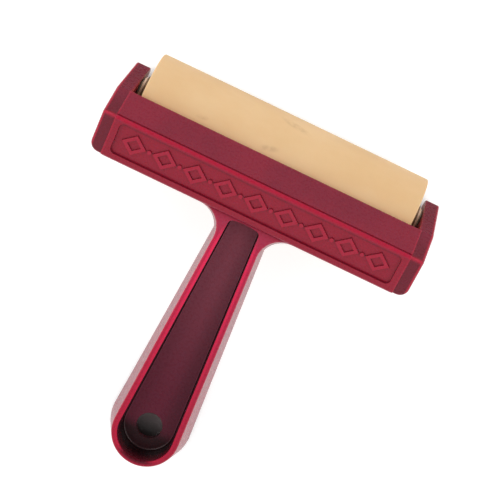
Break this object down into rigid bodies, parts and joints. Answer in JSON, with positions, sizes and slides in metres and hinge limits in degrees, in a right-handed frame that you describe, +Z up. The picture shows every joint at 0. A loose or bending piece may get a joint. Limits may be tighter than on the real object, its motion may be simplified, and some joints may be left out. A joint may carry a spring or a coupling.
{
  "type": "rubber brayer",
  "caption": "Hand brayer: a gum-rubber roller that spins on a steel axle, snapped between the arms of a moulded frame with a channel handle and a hang hole.",
  "frame": {"origin": "middle of the whole brayer's box, on the table that it rests on", "axes": "+X along the roller, +Y from the handle to the roller, +Z up with the brayer lying on its roller and on the back of its handle"},
  "size_m": [0.1184, 0.134, 0.0427],
  "materials": {
    "frame_plastic": "moulded, satin gloss, deep red",
    "gum_rubber": "ground natural gum rubber, matt",
    "core_plastic": "moulded, dark brown",
    "nylon": "natural nylon, pale",
    "axle_steel": "drawn, bright",
    "clip_steel": "spring steel, blackened"
  },
  "bodies": {
    "frame": {"frame": "frame_plastic"},
    "axle": {"axle_rod": "axle_steel", "left_thrust_washer": "nylon", "right_thrust_washer": "nylon", "left_axle_clip": "clip_steel", "right_axle_clip": "clip_steel"},
    "roller": {"rubber_sleeve": "gum_rubber", "core_tube": "core_plastic", "left_end_plug": "core_plastic", "right_end_plug": "core_plastic", "left_bearing_bush": "nylon", "right_bearing_bush": "nylon"}
  },
  "joints": [
    {"name": "frame_pop_off", "type": "slide", "parent": "axle", "child": "frame", "axis": [0, 0, 1], "range_m": [0, 0.018]},
    {"name": "roller_spin", "type": "hinge", "parent": "axle", "child": "roller", "pos_m": [0, 0.05108, 0.0159], "axis": [1, 0, 0], "continuous": true}
  ]
}
